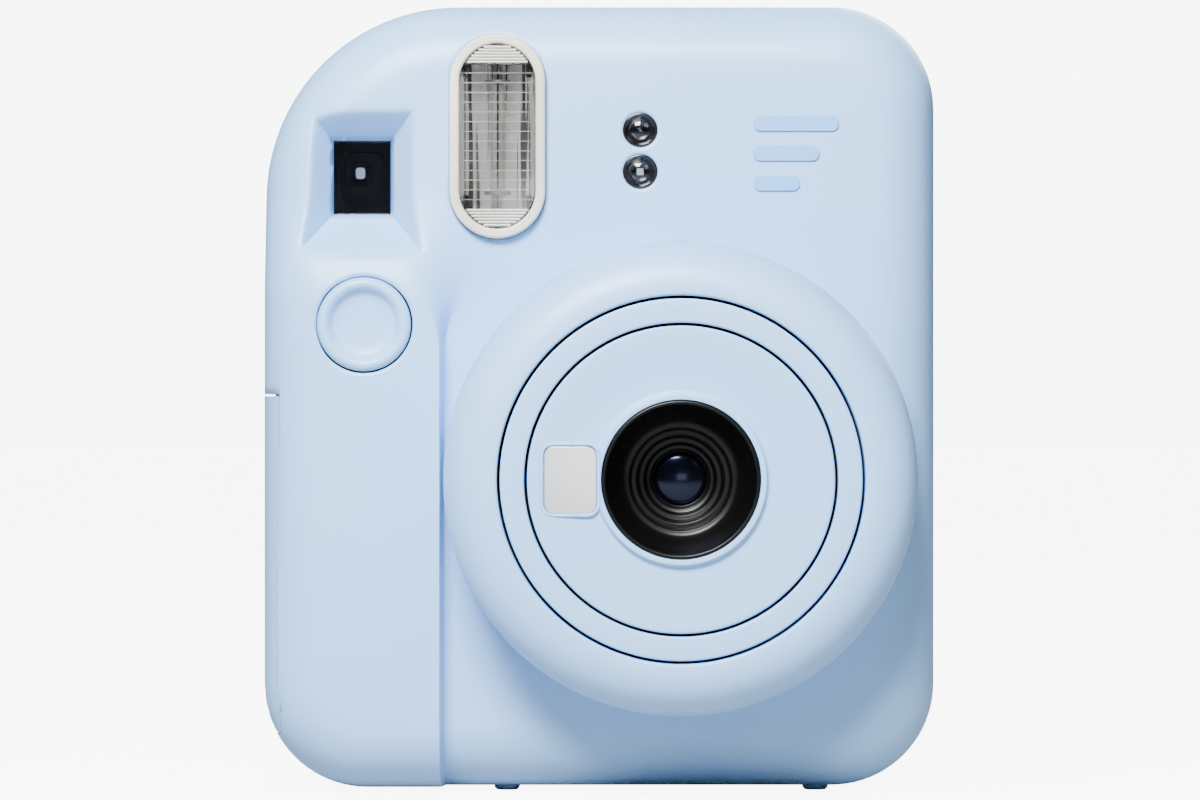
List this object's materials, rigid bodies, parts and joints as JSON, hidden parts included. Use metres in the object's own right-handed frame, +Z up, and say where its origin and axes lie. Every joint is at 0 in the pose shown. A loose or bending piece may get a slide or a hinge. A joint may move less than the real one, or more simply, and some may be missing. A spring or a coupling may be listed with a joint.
{
  "type": "instant camera",
  "caption": "Rounded instant film camera with a twist-out round lens, flash, viewfinder, side grip, rear film door and battery door.",
  "frame": {"origin": "under the middle of the whole camera, at the height of the feet", "axes": "+Z up, -Y the way the lens looks, +X to the right as seen from the front"},
  "size_m": [0.104, 0.0666, 0.122],
  "materials": {
    "shell_blue": "satin",
    "accent_blue": "satin",
    "black_plastic": "matte",
    "mirror_silver": "mirror",
    "reflector_metal": "polished",
    "lens_glass": "polished",
    "clear_plastic": "clear",
    "smoked_plastic": "gloss",
    "flash_ivory": "gloss",
    "steel": "brushed",
    "roller_rubber": "matte",
    "white_nylon": "satin",
    "brass": "machined",
    "circuit_board": "satin",
    "copper_coil": "wound",
    "sleeved_black": "gloss",
    "foam": "matte",
    "cell_jacket": "gloss"
  },
  "bodies": {
    "camera": {"front_cover": "shell_blue", "rear_cover": "shell_blue", "lens_housing": "shell_blue", "barrel_guide": "black_plastic", "light_cone": "black_plastic", "film_chamber": "black_plastic", "roller_frame": "black_plastic", "motor": "steel", "motor_bracket": "steel", "dial_bracket": "black_plastic", "counter_window": "clear_plastic", "button_spring": "steel", "button_switch": "black_plastic", "main_board": "circuit_board", "flash_board": "circuit_board", "flash_capacitor": "sleeved_black", "flash_bezel": "flash_ivory", "flash_window": "clear_plastic", "flash_reflector": "reflector_metal", "flash_tube": "clear_plastic", "sensor_windows": "smoked_plastic", "light_sensors": "sleeved_black", "viewfinder_window": "smoked_plastic", "viewfinder_tube": "black_plastic", "viewfinder_lens": "clear_plastic", "viewfinder_eyepiece": "black_plastic", "door_seals": "foam", "door_hinge_pin": "steel", "battery_box": "black_plastic", "battery_contacts": "steel", "aa_cells": "cell_jacket", "battery_door_pin": "steel", "strap_lugs": "accent_blue", "feet": "accent_blue", "case_screws": "steel", "trim_bars": "accent_blue"},
    "barrel": {"lens_barrel": "shell_blue", "face_panel": "shell_blue", "selfie_mirror": "mirror_silver", "lens_cone": "black_plastic", "front_element": "lens_glass", "shutter_plate": "black_plastic", "shutter_solenoid": "copper_coil", "rear_element": "lens_glass"},
    "ring": {"lens_ring": "shell_blue"},
    "blade": {"shutter_blade": "steel"},
    "drive": {"drive_roller": "roller_rubber"},
    "pinch": {"pinch_roller": "steel"},
    "idler": {"idler_gear": "white_nylon"},
    "pinion": {"motor_pinion": "brass"},
    "pick": {"film_pick": "steel"},
    "dial": {"counter_dial": "white_nylon"},
    "button": {"shutter_button": "shell_blue"},
    "film_door": {"film_door": "shell_blue", "door_liner": "black_plastic", "film_window": "smoked_plastic", "pressure_springs": "steel", "latch_spring": "steel"},
    "latch": {"door_latch": "accent_blue"},
    "battery_door": {"battery_door": "shell_blue"}
  },
  "joints": [
    {"name": "lens_slide", "type": "slide", "parent": "camera", "child": "barrel", "axis": [0, -1, 0], "range_m": [0, 0.01]},
    {"name": "ring_turn", "type": "hinge", "parent": "barrel", "child": "ring", "pos_m": [0.0122, -0.03, 0.0488], "axis": [0, -1, 0], "range_deg": [0, 90]},
    {"name": "blade_swing", "type": "hinge", "parent": "barrel", "child": "blade", "pos_m": [0.0217, -0.0145, 0.0548], "axis": [0, 1, 0], "range_deg": [0, 45], "stiffness_Nm_per_rad": 0.0005},
    {"name": "drive_spin", "type": "hinge", "parent": "camera", "child": "drive", "pos_m": [0.0122, 0.00515, 0.107], "axis": [1, 0, 0], "continuous": true},
    {"name": "pinch_spin", "type": "hinge", "parent": "camera", "child": "pinch", "pos_m": [0.0122, 0.01345, 0.107], "axis": [1, 0, 0], "continuous": true},
    {"name": "idler_spin", "type": "hinge", "parent": "camera", "child": "idler", "pos_m": [0.046, 0.001, 0.09981], "axis": [1, 0, 0], "continuous": true},
    {"name": "pinion_spin", "type": "hinge", "parent": "camera", "child": "pinion", "pos_m": [0.046, -0.00211, 0.09442], "axis": [1, 0, 0], "continuous": true},
    {"name": "pick_slide", "type": "slide", "parent": "camera", "child": "pick", "axis": [0, 0, 1], "range_m": [0, 0.008], "stiffness_N_per_m": 20},
    {"name": "dial_turn", "type": "hinge", "parent": "camera", "child": "dial", "pos_m": [-0.03, 0.027, 0.026], "axis": [0, 1, 0], "range_deg": [0, 330]},
    {"name": "button_press", "type": "slide", "parent": "camera", "child": "button", "axis": [0, 1, 0], "range_m": [0, 0.0012], "stiffness_N_per_m": 400},
    {"name": "film_door_swing", "type": "hinge", "parent": "camera", "child": "film_door", "pos_m": [0.0492, 0.0272, 0.054], "axis": [0, 0, -1], "range_deg": [0, 105]},
    {"name": "latch_slide", "type": "slide", "parent": "film_door", "child": "latch", "axis": [0, 0, -1], "range_m": [0, 0.004], "stiffness_N_per_m": 150, "deforming": ["latch_spring"]},
    {"name": "battery_door_swing", "type": "hinge", "parent": "camera", "child": "battery_door", "pos_m": [-0.0502, 0.0182, 0.036], "axis": [0, 0, -1], "range_deg": [0, 100]}
  ],
  "couplings": [
    {"joint": "ring_turn", "follows": "lens_slide", "rad_per_m": 157},
    {"joint": "pinch_spin", "follows": "drive_spin", "ratio": -1},
    {"joint": "idler_spin", "follows": "drive_spin", "ratio": -1},
    {"joint": "pinion_spin", "follows": "drive_spin", "ratio": 2}
  ]
}
